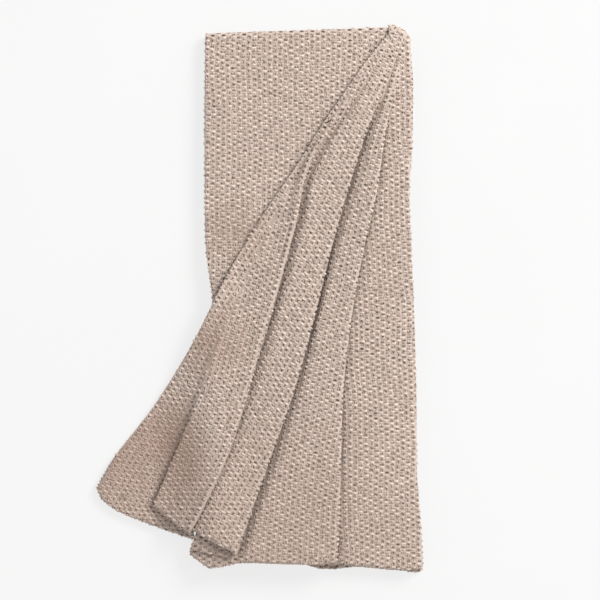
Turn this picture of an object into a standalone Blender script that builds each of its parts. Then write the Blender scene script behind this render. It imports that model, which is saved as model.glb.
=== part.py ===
"""Knit throw, one rectangular panel of seed stitch, folded and laid flat.

The panel is folded in half over its top edge, front half over back half. On the left a
hidden strip is turned under, the middle lies flat, and from the right edge the rest
comes back over the middle as a fan of knife pleats that spreads from the top right
corner. Every layer belongs to the same sheet: each row below is one back-and-forth
section through it, and the rows are joined from the front hem, over the top fold, to
the back hem.

Metres, +Z up. X runs across the throw, Y along it with the top fold at +Y, and the
throw lies on the plane Z = 0 with the origin under the centre of its box.
"""

import math
from collections import namedtuple

import bpy

# Cloth and the stack of its layers
CLOTH = 0.0032
PITCH = 0.0046
FIRST = 0.0060
TURN = PITCH / 2
RIGHT_TURN = FIRST / 2
EDGE = CLOTH / 2
FLOOR = CLOTH / 2

# Lengths of the two halves, from the top fold to the hem
DROP = 0.833

# The fan spreads from a pole a little above the top fold, near the right edge
POLE_X = 0.2351
FOLD_Y = 0.4118
POLE_RISE = 0.0545

# The flat middle: left edge, the strip turned under it, and the slope of the top edge
LEFT_FOLD_Y = 0.4048
FAN_FROM_X = 0.190
FAN_RUN = 0.024
CREST = 0.0022
STEP_RUN = 0.090
NEAR = 1e-6
RISE_RUN = 0.100
RISE_FROM = 0.020
BRIDGE = 0.0050
BRIDGE_RUN = 0.060
SINK_RUN = 0.110
FULL_GAP = 3.4 * PITCH
DIVE = 0.016

# Lines of the fan: lean from the vertical in degrees at each distance down from the top
Lean = namedtuple("Lean", "down right pleat_a pleat_b pleat_c valley outer")
LEANS = (
    Lean(0.000, 1.5, 8.0, 16.0, 24.5, 33.5, 41.1),
    Lean(0.050, -1.0, 9.0, 17.4, 30.0, 35.2, 40.3),
    Lean(0.100, -0.8, 11.0, 18.2, 32.4, 35.8, 38.4),
    Lean(0.160, -0.4, 11.0, 18.9, 33.0, 35.5, 37.4),
    Lean(0.240, 0.6, 10.2, 18.6, 32.2, 34.4, 35.9),
    Lean(0.330, 0.0, 10.8, 18.0, 27.6, 32.5, 35.5),
    Lean(0.440, -0.5, 10.7, 17.1, 24.7, 30.7, 34.5),
    Lean(0.560, -0.7, 9.9, 16.7, 23.1, 29.4, 33.0),
    Lean(0.680, -0.7, 8.6, 17.1, 22.0, 28.1, 32.8),
    Lean(0.780, -1.1, 7.8, 17.4, 22.2, 27.5, 33.4),
    Lean(0.850, -1.2, 7.5, 17.5, 22.7, 27.2, 33.1),
)

# How far each pleat laps over the next, below zero where it opens into a wave; how far
# its rolled edge is lifted; how much of its full height is there, also for the pleat
# beside the outer edge; and how high the last pleat is carried by the layers under it
Lap = namedtuple("Lap", "down rise rise_c lap_a lift_a lap_b lift_b lap_c lift_c perch")
LAPS = (
    Lap(0.000, 0.02, 0.02, -0.005, 0.000, -0.005, 0.000, -0.005, 0.000, 0.0),
    Lap(0.050, 0.26, 0.16, -0.008, 0.000, -0.008, 0.000, -0.006, 0.000, 0.0),
    Lap(0.100, 0.60, 0.32, -0.008, 0.001, -0.008, 0.001, -0.006, 0.000, 0.0),
    Lap(0.160, 1.05, 0.56, -0.003, 0.002, -0.002, 0.002, -0.006, 0.000, 0.0),
    Lap(0.240, 1.05, 0.88, 0.012, 0.004, 0.015, 0.004, -0.005, 0.001, 0.0),
    Lap(0.330, 1.05, 1.05, 0.028, 0.005, 0.033, 0.004, -0.003, 0.003, 0.0),
    Lap(0.440, 1.05, 1.05, 0.038, 0.005, 0.044, 0.005, 0.012, 0.005, 0.0),
    Lap(0.560, 1.05, 1.05, 0.044, 0.005, 0.046, 0.005, 0.021, 0.005, 0.5),
    Lap(0.680, 1.05, 1.05, 0.036, 0.004, 0.046, 0.006, 0.014, 0.005, 1.6),
    Lap(0.780, 1.05, 1.05, 0.022, 0.004, 0.056, 0.009, 0.006, 0.004, 2.0),
    Lap(0.850, 1.05, 1.05, 0.014, 0.004, 0.057, 0.012, 0.002, 0.004, 2.0),
)

# The crease between the two leftmost panels: a soft valley that turns under at the hem
Valley = namedtuple("Valley", "down step lap")
VALLEYS = (
    Valley(0.000, 0.02, -0.004),
    Valley(0.160, 0.20, -0.004),
    Valley(0.240, 0.30, -0.005),
    Valley(0.330, 0.40, -0.012),
    Valley(0.480, 0.60, -0.014),
    Valley(0.600, 1.50, -0.010),
    Valley(0.660, 2.00, -0.006),
    Valley(0.720, 2.00, 0.004),
    Valley(0.780, 2.00, 0.034),
    Valley(0.850, 2.00, 0.089),
)

# Left edge of the flat middle, and where the strip turned under it ends
Left = namedtuple("Left", "down x strip_end")
LEFTS = (
    Left(0.000, -0.0852, 0.190),
    Left(0.100, -0.0860, 0.200),
    Left(0.260, -0.0856, 0.203),
    Left(0.330, -0.0835, 0.200),
    Left(0.410, -0.0735, 0.192),
    Left(0.600, -0.0705, 0.178),
    Left(0.850, -0.0680, 0.050),
)

# The sheet from its hidden left edge to the open one: steps across each run, and how far
# the front and the back hem reach at the run's end
Run = namedtuple("Run", "name steps front back")
START = Run("hidden edge", 0, 0.800, 0.800)
RUNS = (
    Run("strip turned under", 4, 0.806, 0.806),
    Run("left turn", 4, 0.812, 0.812),
    Run("over the strip", 5, 0.816, 0.820),
    Run("past the strip", 5, 0.820, 0.828),
    Run("right turn", 4, 0.830, 0.836),
    Run("right panel", 4, 0.824, 0.832),
    Run("under a", 3, 0.824, 0.831),
    Run("inside a", 1, 0.824, 0.830),
    Run("roll a", 4, 0.825, 0.830),
    Run("panel a", 7, 0.868, 0.840),
    Run("under b", 3, 0.858, 0.836),
    Run("inside b", 3, 0.850, 0.836),
    Run("roll b", 4, 0.839, 0.836),
    Run("panel b", 7, 0.829, 0.832),
    Run("under c", 3, 0.838, 0.832),
    Run("inside c", 1, 0.836, 0.832),
    Run("roll c", 4, 0.832, 0.832),
    Run("panel c", 6, 0.8205, 0.834),
    Run("over valley", 3, 0.824, 0.834),
    Run("inside valley", 2, 0.840, 0.836),
    Run("under valley", 3, 0.844, 0.836),
    Run("left panel", 5, 0.850, 0.840),
)

# Where the hem reaches further or less far inside a run, at a part of its width
Dip = namedtuple("Dip", "run part front back")
DIPS = (
    Dip("panel a", 0.62, 0.850, 0.838),
    Dip("panel a", 0.84, 0.877, 0.840),
    Dip("panel c", 0.20, 0.833, 0.834),
    Dip("left panel", 0.30, 0.849, 0.838),
    Dip("left panel", 0.75, 0.855, 0.840),
)
LONG_RUN = 0.020

# Tips of the throw's corners: lean of the edge there, side (1 is right) and end (1 is hem)
Corner = namedtuple("Corner", "x y lean side end radius")
OUTER_HEM, RIGHT_HEM = 0.850, 0.831
ROUND_TO = 0.90

# Rows of the front from the top fold to the hem, those of the back, and the top fold's
FRONT_DOWN = (0.000, 0.014, 0.034, 0.060, 0.095, 0.130, 0.160, 0.190, 0.230, 0.285, 0.345,
              0.405, 0.470, 0.540, 0.610, 0.665, 0.710, 0.750, 0.785, 0.812, DROP)
BACK_DOWN = (0.000, 0.040, 0.120, 0.250, 0.420, 0.600, 0.740, DROP)
FOLD_STEPS = 4
SOFT_STEPS = 4


def between(table, name, down):
    """Reads a table's column at a distance down, on a smooth curve through its rows."""
    rows = [(row.down, getattr(row, name)) for row in table]
    if down <= rows[0][0]:
        return rows[0][1]
    if down >= rows[-1][0]:
        return rows[-1][1]
    at = max(i for i, row in enumerate(rows) if row[0] <= down)
    x0, y0 = rows[at]
    x1, y1 = rows[at + 1]
    before = rows[max(at - 1, 0)]
    after = rows[min(at + 2, len(rows) - 1)]
    width = x1 - x0
    slope0 = (y1 - before[1]) / (x1 - before[0])
    slope1 = (after[1] - y0) / (after[0] - x0)
    part = (down - x0) / width
    square, cube = part * part, part * part * part
    return ((2 * cube - 3 * square + 1) * y0 + (cube - 2 * square + part) * width * slope0
            + (3 * square - 2 * cube) * y1 + (cube - square) * width * slope1)


def ease(part):
    part = min(max(part, 0.0), 1.0)
    return part * part * (3 - 2 * part)


def along(name, down):
    """How far a line of the fan lies round from the vertical, at a distance down."""
    return math.radians(between(LEANS, name, down)) * (down + POLE_RISE)


def fan_place(lean, down):
    return POLE_X - (down + POLE_RISE) * math.sin(lean), FOLD_Y - down * math.cos(lean)


def fan_read(x, y):
    """The distance down and the distance round of a place in the fan."""
    across, drop = max(POLE_X - x, 0.0), max(FOLD_Y - y, 1e-6)
    low, high = max(drop, across - POLE_RISE), across + drop + POLE_RISE
    for _ in range(40):
        down = (low + high) / 2
        inside = (across / (down + POLE_RISE)) ** 2 + (drop / down) ** 2 > 1
        low, high = (down, high) if inside else (low, down)
    lean = math.asin(min(across / (down + POLE_RISE), 1.0))
    return down, lean * (down + POLE_RISE)


def fold_line(x):
    """The top fold's line, which rises towards the right as far as the fan over it."""
    left = LEFTS[0].x
    rise = FOLD_Y + CREST - LEFT_FOLD_Y
    return (LEFT_FOLD_Y + rise * min(max((x - left) / (FAN_FROM_X - left), 0.0), 1.0)
            - CREST * ease((x - FAN_FROM_X) / FAN_RUN))


def pleat(name, down):
    """A pleat's rolled edge, its lap, its height and the radius of its roll."""
    line = along("pleat_" + name, down)
    lap = between(LAPS, "lap_" + name, down)
    lift = between(LAPS, "lift_" + name, down)
    rise = min(between(LAPS, "rise_c" if name == "c" else "rise", down), 1.0)
    return line, lap, (2 * PITCH + lift) * rise, lift / 2 + turn_radius(down)


def turn_radius(down):
    """Radius of the turns, which open wide where the pleats run out at the top."""
    return TURN * (1.8 - 0.8 * ease(down / 0.14))


def back_middle(x, y):
    """Height of the flat middle's back layer, on the floor or on the back fan."""
    down, round_ = fan_read(x, y)
    off_fan = ease((round_ - along("outer", down) - RISE_FROM) / RISE_RUN)
    return FLOOR + PITCH * (1 - off_fan)


def middle_gap(x, y):
    """Height between the flat middle's two layers, less where no strip lies between."""
    down = fold_line(x) - y
    past_strip = ease((x - between(LEFTS, "strip_end", down) - 0.010) / SINK_RUN)
    below_top = ease((down - 0.050) / 0.250)
    return FULL_GAP - (FULL_GAP - PITCH) * past_strip * below_top


def front_base(x, y):
    """Height that the front fan's layers are counted from: the flat middle's front
    layer, and left of it a slope down to the back half's open panel."""
    swell = 0.0010 * (1 + math.sin(23 * x + 11 * y + 1.0)) + 0.0008 * (1 + math.sin(31 * y - 17 * x))
    middle = back_middle(x, y) + middle_gap(x, y) + swell * ease((FOLD_Y - y) / 0.10)
    beyond = between(LEFTS, "x", FOLD_Y - y) - x
    part = min(max(beyond / STEP_RUN, 0.0), 1.0)
    return middle + (FLOOR - middle) * (0.35 * part + 0.65 * ease(part))


def front_height(x, y, layer):
    """Lifts a layer off the base, by more where the base is steep."""
    base = front_base(x, y)
    probe = 0.002
    slope_x = (front_base(x + probe, y) - base) / probe
    slope_y = (front_base(x, y + probe) - base) / probe
    from_edge = abs(x - between(LEFTS, "x", FOLD_Y - y)) / BRIDGE_RUN
    bridge = BRIDGE * (1 - ease(from_edge)) * ease(layer / FIRST)
    return base + bridge + layer * math.sqrt(1 + slope_x ** 2 + slope_y ** 2)


def panel(begin, soft_from, soft_to, end, heights, head=1, tail=1):
    """A panel's section: from its roll to where its support ends, eased down to the next
    height, and level under the next pleat. Head and tail are its steps at either end."""
    least = 0.08 * (end - begin)
    soft_from = max(begin + least, min(soft_from, end - 3 * least))
    soft_to = max(soft_from + least, min(soft_to, end - least))
    stops = [(begin + (soft_from - begin) * i / head,
              heights[0] + (heights[1] - heights[0]) * i / head) for i in range(1, head + 1)]
    for i in range(1, SOFT_STEPS + 1):
        part = i / SOFT_STEPS
        stops.append((soft_from + (soft_to - soft_from) * part,
                      heights[1] + (heights[2] - heights[1]) * ease(part)))
    stops += [(soft_to + (end - soft_to) * i / tail, heights[2]) for i in range(1, tail + 1)]
    return stops


def turn_back(begin, low, end, high, first, last, steps):
    """A fold from one layer to the next but one: a turn, a hidden stretch and a turn
    back. Where the lap is less than nothing it is a smooth step between two layers."""
    sign = 1 if high >= low else -1
    both = first + last
    reach = min(abs(high - low) - both, both)
    shift = end - begin
    if both - reach > NEAR:
        shift = max(shift, math.sqrt(both ** 2 - reach ** 2))
        end = begin + shift
    span = math.hypot(shift, reach)
    angle = math.atan2(reach, shift) + math.asin(min(both / span, 1.0))
    stops = []
    for i in range(1, steps[0] + 1):
        a = angle * i / steps[0]
        stops.append((begin + first * math.sin(a), low + sign * first * (1 - math.cos(a))))
    leave = (end - last * math.sin(angle), high - sign * last * (1 - math.cos(angle)))
    start = stops[-1]
    for i in range(1, steps[1] + 1):
        part = i / steps[1]
        stops.append((start[0] + (leave[0] - start[0]) * part,
                      start[1] + (leave[1] - start[1]) * part))
    for i in range(1, steps[2] + 1):
        a = angle * (1 - i / steps[2])
        stops.append((end - last * math.sin(a), high - sign * last * (1 - math.cos(a))))
    return stops


def flat_part(down, side):
    """The hidden strip, the left turn and the flat middle, as places across and layers."""
    strip, turn, over, past = RUNS[:4]
    left = between(LEFTS, "x", down) + EDGE + TURN
    strip_end = between(LEFTS, "strip_end", down)
    right = POLE_X - along("right", down) - EDGE - (RIGHT_TURN if side > 0 else TURN)
    stops = []
    for i in range(strip.steps + 1):
        stops.append((strip_end + (left - strip_end) * i / strip.steps, -side * PITCH))
    for i in range(1, turn.steps + 1):
        a = math.pi * i / turn.steps
        stops.append((left - TURN * math.sin(a), -side * TURN * (1 + math.cos(a))))
    for i in range(1, over.steps + 1):
        stops.append((left + (strip_end - left) * i / over.steps, 0.0))
    for i in range(1, past.steps + 1):
        stops.append((strip_end + (right - strip_end) * i / past.steps, 0.0))
    return stops


def front_fan(down):
    """The front fan's section, right to left: distance round and height off the base."""
    begin = along("right", down) + EDGE + RIGHT_TURN
    stops = []
    for i in range(1, 5):
        a = math.pi * i / 4
        stops.append((begin - RIGHT_TURN * math.sin(a), RIGHT_TURN * (1 - math.cos(a))))
    level = FIRST
    perch = between(LAPS, "perch", down) * PITCH
    step = between(VALLEYS, "step", down) * PITCH
    crease = along("valley", down)
    here = begin
    line, lap, height, roll = pleat("a", down)
    fold_start = line + EDGE + roll + lap
    for i in range(1, 5):
        stops.append((here + (fold_start - here) * i / 4, level))
    lows = {"a": level, "b": level, "c": level + perch}
    order = ("a", "b", "c")
    insides = {"a": 1, "b": 3, "c": 1}
    ends = {"a": (1, 2), "b": (2, 1)}
    for number, name in enumerate(order):
        line, lap, height, roll = pleat(name, down)
        start = line + EDGE + roll + lap
        high = lows[name] + height
        stops += turn_back(start, lows[name], line + EDGE + roll, high, turn_radius(down), roll,
                           (3, insides[name], 4))
        here = stops[-1][0]
        seated = lows[name] + min(height, 2 * PITCH)
        if number + 1 < len(order):
            after, next_lap, _, next_roll = pleat(order[number + 1], down)
            low = lows[order[number + 1]]
            end = after + EDGE + next_roll + next_lap
            soft_to = after if next_lap > 0 else end
            stops += panel(here, max(start, after - DIVE), soft_to, end, (high, seated, low),
                           *ends[name])
    valley_lap = between(VALLEYS, "lap", down)
    high = level + step
    turned = ease(step / PITCH - 1)
    edge = crease - (EDGE + TURN) * turned
    radius = TURN * (2 - turned)
    stops += panel(here, start, edge - 0.1 * (edge - here), edge, (0.0, seated, high))
    stops += turn_back(edge, high, edge - valley_lap, level, radius, radius, (3, 2, 3))
    here = stops[-1][0]
    outer = along("outer", down) - EDGE
    for i in range(1, 6):
        stops.append((here + (outer - here) * i / 5, level))
    return stops


def back_fan(down):
    """The back fan's section, one flat layer: distance round and height off the floor."""
    begin = along("right", down) + EDGE + TURN
    outer = along("outer", down) - EDGE
    stops = []
    for i in range(1, 5):
        a = math.pi * i / 4
        stops.append((begin - TURN * math.sin(a), TURN * (1 + math.cos(a))))
    steps = sum(run.steps for run in RUNS[5:])
    for i in range(1, steps + 1):
        stops.append((begin + (outer - begin) * i / steps, 0.0))
    return stops


def hem_reaches(side):
    """How far the hem reaches at each column of the sheet."""
    front = side == "front"
    places = [stop[0] for stop in flat_part(DROP, 1 if front else -1)
              + (front_fan(DROP) if front else back_fan(DROP))]
    reaches = [getattr(START, side)]
    column = 0
    for run in RUNS:
        knots = [(0.0, reaches[-1])]
        knots += [(dip.part, getattr(dip, side)) for dip in DIPS if dip.run == run.name]
        knots.append((1.0, getattr(run, side)))
        begin, end = places[column], places[column + run.steps]
        for i in range(1, run.steps + 1):
            part = i / run.steps
            if abs(end - begin) > LONG_RUN:
                part = (places[column + i] - begin) / (end - begin)
            at = max(k for k, knot in enumerate(knots[:-1]) if knot[0] <= part + NEAR)
            (part0, reach0), (part1, reach1) = knots[at], knots[at + 1]
            reaches.append(reach0 + (reach1 - reach0) * (part - part0) / (part1 - part0))
        column += run.steps
    return reaches


def row(down, side, reaches):
    """One row of the sheet: a point for each column, from hidden edge to open edge."""
    front = side == "front"
    flat = flat_part(down, 1 if front else -1)
    fan = front_fan(down) if front else back_fan(down)
    points = []
    settle = (down / DROP) ** 3
    for number, (place, layer) in enumerate(flat + fan):
        own = down + (reaches[number] - DROP) * settle
        if number < len(flat):
            x, y = place, fold_line(place) - own
            z = front_height(x, y, layer) if front else back_middle(x, y) + layer
        else:
            x, y = fan_place(place / (down + POLE_RISE), own)
            z = front_height(x, y, layer) if front else FLOOR + layer
        points.append((x, y, z))
    return points


def top_fold(front_row, back_row):
    """The rows that carry each column round the top fold, from the front to the back."""
    rows = []
    for i in range(1, FOLD_STEPS):
        a = math.pi * i / FOLD_STEPS
        points = []
        for (x, y, high), (back_x, back_y, low) in zip(front_row, back_row):
            middle, radius = (high + low) / 2, (high - low) / 2
            points.append(((x + back_x) / 2, y + radius * math.sin(a),
                           middle + radius * math.cos(a)))
        rows.append(points)
    return rows


def round_corner(point, corner):
    """Draws a point near a corner of the throw inwards, so that the corner is round."""
    sine, cosine = math.sin(corner.lean), math.cos(corner.lean)
    onward = (-corner.end * sine, -corner.end * cosine)
    offset = (point[0] - corner.x, point[1] - corner.y)
    beside = 1 + corner.side * (offset[0] * cosine - offset[1] * sine) / corner.radius
    if beside <= 0:
        return point
    inward = -(offset[0] * onward[0] + offset[1] * onward[1]) / (4 * corner.radius)
    draw = corner.radius * (1 - math.sqrt(1 - min(beside, ROUND_TO) ** 2)) * (1 - ease(inward))
    return point[0] - draw * onward[0], point[1] - draw * onward[1], point[2]


def corners():
    """The throw's four corners: both ends of the top fold, and the two ends of the hem."""
    outer_lean = math.radians(between(LEANS, "outer", OUTER_HEM))
    outer = fan_place(outer_lean, OUTER_HEM)
    right_lean = math.radians(between(LEANS, "right", DROP))
    right = fan_place(right_lean, RIGHT_HEM)
    return (Corner(LEFTS[0].x, LEFT_FOLD_Y, 0.0, -1, -1, 0.006),
            Corner(POLE_X - along("right", 0.0), FOLD_Y, 0.0, 1, -1, 0.032),
            Corner(right[0], right[1], right_lean, 1, 1, 0.012),
            Corner(outer[0], outer[1], outer_lean, -1, 1, 0.020))


def sheet_rows():
    front_reach, back_reach = hem_reaches("front"), hem_reaches("back")
    front = [row(down, "front", front_reach) for down in FRONT_DOWN]
    back = [row(down, "back", back_reach) for down in BACK_DOWN]
    rows = front[::-1] + top_fold(front[0], back[0]) + back
    for corner in corners():
        rows = [[round_corner(point, corner) for point in points] for points in rows]
    return rows


def knit_material():
    material = bpy.data.materials.new("knit")
    material.use_nodes = True
    shader = material.node_tree.nodes["Principled BSDF"]
    shader.inputs["Base Color"].default_value = (0.50, 0.41, 0.34, 1.0)
    shader.inputs["Roughness"].default_value = 0.9
    shader.inputs["Metallic"].default_value = 0.0
    return material


def knit_throw(collection):
    rows = sheet_rows()
    columns = len(rows[0])
    points = [point for points in rows for point in points]
    faces = []
    for i in range(len(rows) - 1):
        for j in range(columns - 1):
            a = i * columns + j
            faces.append((a, a + 1, a + 1 + columns, a + columns))
    mesh = bpy.data.meshes.new("knit_throw")
    mesh.from_pydata(points, [], faces)
    mesh.materials.append(knit_material())
    mesh.shade_smooth()
    throw = bpy.data.objects.new("knit_throw", mesh)
    collection.objects.link(throw)
    cloth = throw.modifiers.new("cloth", "SOLIDIFY")
    cloth.thickness = CLOTH
    cloth.offset = 0.0
    cloth.use_rim = True
    return throw


def settle_on_origin(throw):
    """Moves the sheet's points so that the origin is under the centre of its box."""
    bpy.context.view_layer.update()
    solid = throw.evaluated_get(bpy.context.evaluated_depsgraph_get())
    corners = [solid.bound_box[i] for i in range(8)]
    middle = [(min(c[k] for c in corners) + max(c[k] for c in corners)) / 2 for k in range(2)]
    for vertex in throw.data.vertices:
        vertex.co.x -= middle[0]
        vertex.co.y -= middle[1]


for old in list(bpy.data.objects):
    bpy.data.objects.remove(old, do_unlink=True)
folded = bpy.data.collections.new("knit_throw")
bpy.context.scene.collection.children.link(folded)
settle_on_origin(knit_throw(folded))
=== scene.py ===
"""A chunky knit throw, folded in half and fanned into pleats, on a pale floor."""

import math
import random
from collections import namedtuple

import bpy
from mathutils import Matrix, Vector
from mathutils.bvhtree import BVHTree


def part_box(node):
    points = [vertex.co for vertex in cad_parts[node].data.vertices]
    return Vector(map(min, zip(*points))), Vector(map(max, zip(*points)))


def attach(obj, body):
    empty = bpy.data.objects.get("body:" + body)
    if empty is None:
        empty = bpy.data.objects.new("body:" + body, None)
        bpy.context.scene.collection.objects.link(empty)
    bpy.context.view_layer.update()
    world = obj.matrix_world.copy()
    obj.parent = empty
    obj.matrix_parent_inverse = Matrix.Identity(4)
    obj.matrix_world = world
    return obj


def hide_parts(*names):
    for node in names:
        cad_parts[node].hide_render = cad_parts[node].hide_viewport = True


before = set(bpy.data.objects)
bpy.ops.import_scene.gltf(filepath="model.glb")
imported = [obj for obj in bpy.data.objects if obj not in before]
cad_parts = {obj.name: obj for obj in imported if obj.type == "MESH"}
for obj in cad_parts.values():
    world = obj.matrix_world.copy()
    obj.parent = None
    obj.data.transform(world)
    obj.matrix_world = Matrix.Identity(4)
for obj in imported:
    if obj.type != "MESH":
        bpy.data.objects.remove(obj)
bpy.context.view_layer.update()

# The knitted panel as it lies: one rectangle of wool-blend cloth, 1.30 by 1.70 m, folded
# in half over its top edge, with a strip turned under on the left and the right side
# brought back over the middle as a fan of knife pleats from the top right corner.
NEAR = 1e-6

# The cloth's thickness, the pitch of its layers, and the radii that it turns on
CLOTH = 0.0026
LAYER_PITCH = 0.0046
FIRST_LAYER = 0.0060
TURN = LAYER_PITCH / 2
RIGHT_TURN = FIRST_LAYER / 2
EDGE = 0.0016
FLOOR_LAYER = 0.0016
TOP_TURN, TOP_TURN_RUN = 1.8, 0.14

# The length down, the pole that the fan's lines meet at, and the top fold's line
DROP = 0.833
POLE_X, POLE_RISE = 0.2351, 0.0545
FOLD_Y, LEFT_FOLD_Y = 0.4118, 0.4048
FAN_FROM_X, FAN_RUN, CREST = 0.190, 0.024, 0.0022
HALVINGS = 30

# How the front comes down from the flat middle to the floor, how the back rises onto its
# own fan, how the middle sinks where no strip fills it, and how the front swells a little
STEP_RUN, STEP_STRAIGHT = 0.090, 0.35
RISE_RUN, RISE_FROM = 0.100, 0.020
BRIDGE, BRIDGE_RUN = 0.0050, 0.060
SINK_RUN, SINK_FROM, SINK_DOWN, SINK_DOWN_RUN = 0.110, 0.010, 0.050, 0.250
FULL_GAP = 3.4 * LAYER_PITCH
SWELL, CROSS_SWELL, SWELL_RUN = 0.0010, 0.0008, 0.10
SLOPE_PROBE = 0.002

# How far before the next pleat a panel may start down, the least share of its width for
# each of its parts, and the share that is level beside the crease of the leftmost panels
DIVE = 0.016
LEAST_PART = 0.08
VALLEY_PART = 0.1

# Leans of the fan's lines from the vertical, in degrees, at distances down from the top
Lean = namedtuple("Lean", "down right pleat_a pleat_b pleat_c valley outer")
LEANS = (
    Lean(0.000, 1.5, 8.0, 16.0, 24.5, 33.5, 41.1),
    Lean(0.050, -1.0, 9.0, 17.4, 30.0, 35.2, 40.3),
    Lean(0.100, -0.8, 11.0, 18.2, 32.4, 35.8, 38.4),
    Lean(0.160, -0.4, 11.0, 18.9, 33.0, 35.5, 37.4),
    Lean(0.240, 0.6, 10.2, 18.6, 32.2, 34.4, 35.9),
    Lean(0.330, 0.0, 10.8, 18.0, 27.6, 32.5, 35.5),
    Lean(0.440, -0.5, 10.7, 17.1, 24.7, 30.7, 34.5),
    Lean(0.560, -0.7, 9.9, 16.7, 23.1, 29.4, 33.0),
    Lean(0.680, -0.7, 8.6, 17.1, 22.0, 28.1, 32.8),
    Lean(0.780, -1.1, 7.8, 17.4, 22.2, 27.5, 33.4),
    Lean(0.850, -1.2, 7.5, 17.5, 22.7, 27.2, 33.1),
)

# How much of the pleats' height is there, their laps, the lifts of their rolled edges,
# and how many layers the last pleat perches on
Lap = namedtuple("Lap", "down rise rise_c lap_a lift_a lap_b lift_b lap_c lift_c perch")
LAPS = (
    Lap(0.000, 0.02, 0.02, -0.005, 0.000, -0.005, 0.000, -0.005, 0.000, 0.0),
    Lap(0.050, 0.26, 0.16, -0.008, 0.000, -0.008, 0.000, -0.006, 0.000, 0.0),
    Lap(0.100, 0.60, 0.32, -0.008, 0.001, -0.008, 0.001, -0.006, 0.000, 0.0),
    Lap(0.160, 1.05, 0.56, -0.003, 0.002, -0.002, 0.002, -0.006, 0.000, 0.0),
    Lap(0.240, 1.05, 0.88, 0.012, 0.004, 0.015, 0.004, -0.005, 0.001, 0.0),
    Lap(0.330, 1.05, 1.05, 0.028, 0.005, 0.033, 0.004, -0.003, 0.003, 0.0),
    Lap(0.440, 1.05, 1.05, 0.038, 0.005, 0.044, 0.005, 0.012, 0.005, 0.0),
    Lap(0.560, 1.05, 1.05, 0.044, 0.005, 0.046, 0.005, 0.021, 0.005, 0.5),
    Lap(0.680, 1.05, 1.05, 0.036, 0.004, 0.046, 0.006, 0.014, 0.005, 1.6),
    Lap(0.780, 1.05, 1.05, 0.022, 0.004, 0.056, 0.009, 0.006, 0.004, 2.0),
    Lap(0.850, 1.05, 1.05, 0.014, 0.004, 0.057, 0.012, 0.002, 0.004, 2.0),
)

# The crease between the two leftmost panels: the layers that it steps up, and its lap
Valley = namedtuple("Valley", "down step lap")
VALLEYS = (
    Valley(0.000, 0.02, -0.004),
    Valley(0.160, 0.20, -0.004),
    Valley(0.240, 0.30, -0.005),
    Valley(0.330, 0.40, -0.012),
    Valley(0.480, 0.60, -0.014),
    Valley(0.600, 1.50, -0.010),
    Valley(0.660, 2.00, -0.006),
    Valley(0.720, 2.00, 0.004),
    Valley(0.780, 2.00, 0.034),
    Valley(0.850, 2.00, 0.089),
)

# Left edge of the flat middle, and where the strip turned under it ends
Left = namedtuple("Left", "down x strip_end")
LEFTS = (
    Left(0.000, -0.0852, 0.190),
    Left(0.100, -0.0860, 0.200),
    Left(0.260, -0.0856, 0.203),
    Left(0.330, -0.0835, 0.200),
    Left(0.410, -0.0735, 0.192),
    Left(0.600, -0.0705, 0.178),
    Left(0.850, -0.0680, 0.050),
)

# Runs of the sheet from its hidden edge to the open one: the panel that a run belongs
# to, the steps across it, and the front and back hems' reach at its end
Run = namedtuple("Run", "name panel steps front back")
RUNS = (
    Run("strip", "flat", 8, 0.806, 0.806),
    Run("left turn", "flat", 8, 0.812, 0.812),
    Run("over the strip", "flat", 12, 0.816, 0.820),
    Run("past the strip", "flat", 10, 0.820, 0.828),
    Run("right turn", "right", 8, 0.830, 0.836),
    Run("right panel", "right", 8, 0.824, 0.832),
    Run("under a", "right", 6, 0.824, 0.831),
    Run("inside a", "right", 2, 0.824, 0.830),
    Run("roll a", "a", 8, 0.825, 0.830),
    Run("panel a", "a", 14, 0.868, 0.840),
    Run("under b", "a", 6, 0.858, 0.836),
    Run("inside b", "a", 4, 0.850, 0.836),
    Run("roll b", "b", 8, 0.839, 0.836),
    Run("panel b", "b", 14, 0.829, 0.832),
    Run("under c", "b", 6, 0.838, 0.832),
    Run("inside c", "b", 2, 0.836, 0.832),
    Run("roll c", "c", 8, 0.832, 0.832),
    Run("panel c", "c", 12, 0.8205, 0.834),
    Run("over valley", "c", 6, 0.824, 0.834),
    Run("inside valley", "left", 3, 0.840, 0.836),
    Run("under valley", "left", 6, 0.844, 0.836),
    Run("left panel", "left", 12, 0.850, 0.840),
)
START = Run("hidden edge", "flat", 0, 0.800, 0.800)
STEPS = {run.name: run.steps for run in RUNS}
FAN_RUNS_FROM = list(STEPS).index("right panel")
FRONT_ROWS, BACK_ROWS, FOLD_ROWS = 165, 46, 10

# Where the hem reaches further or less far inside a run, at a part of its width
Dip = namedtuple("Dip", "run part front back")
DIPS = (
    Dip("panel a", 0.62, 0.850, 0.838),
    Dip("panel a", 0.84, 0.877, 0.840),
    Dip("panel c", 0.20, 0.833, 0.834),
    Dip("left panel", 0.30, 0.849, 0.838),
    Dip("left panel", 0.75, 0.855, 0.840),
)
LONG_RUN = 0.020

# Tips of the throw's corners: lean of the edge there, side (1 is right, -1 left), end (1 is
# the hem, -1 the top fold) and radius, and how far down the outer and right edges end
Corner = namedtuple("Corner", "x y lean side end radius")
OUTER_HEM, RIGHT_HEM = 0.850, 0.831
ROUND_TO = 0.90


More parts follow.
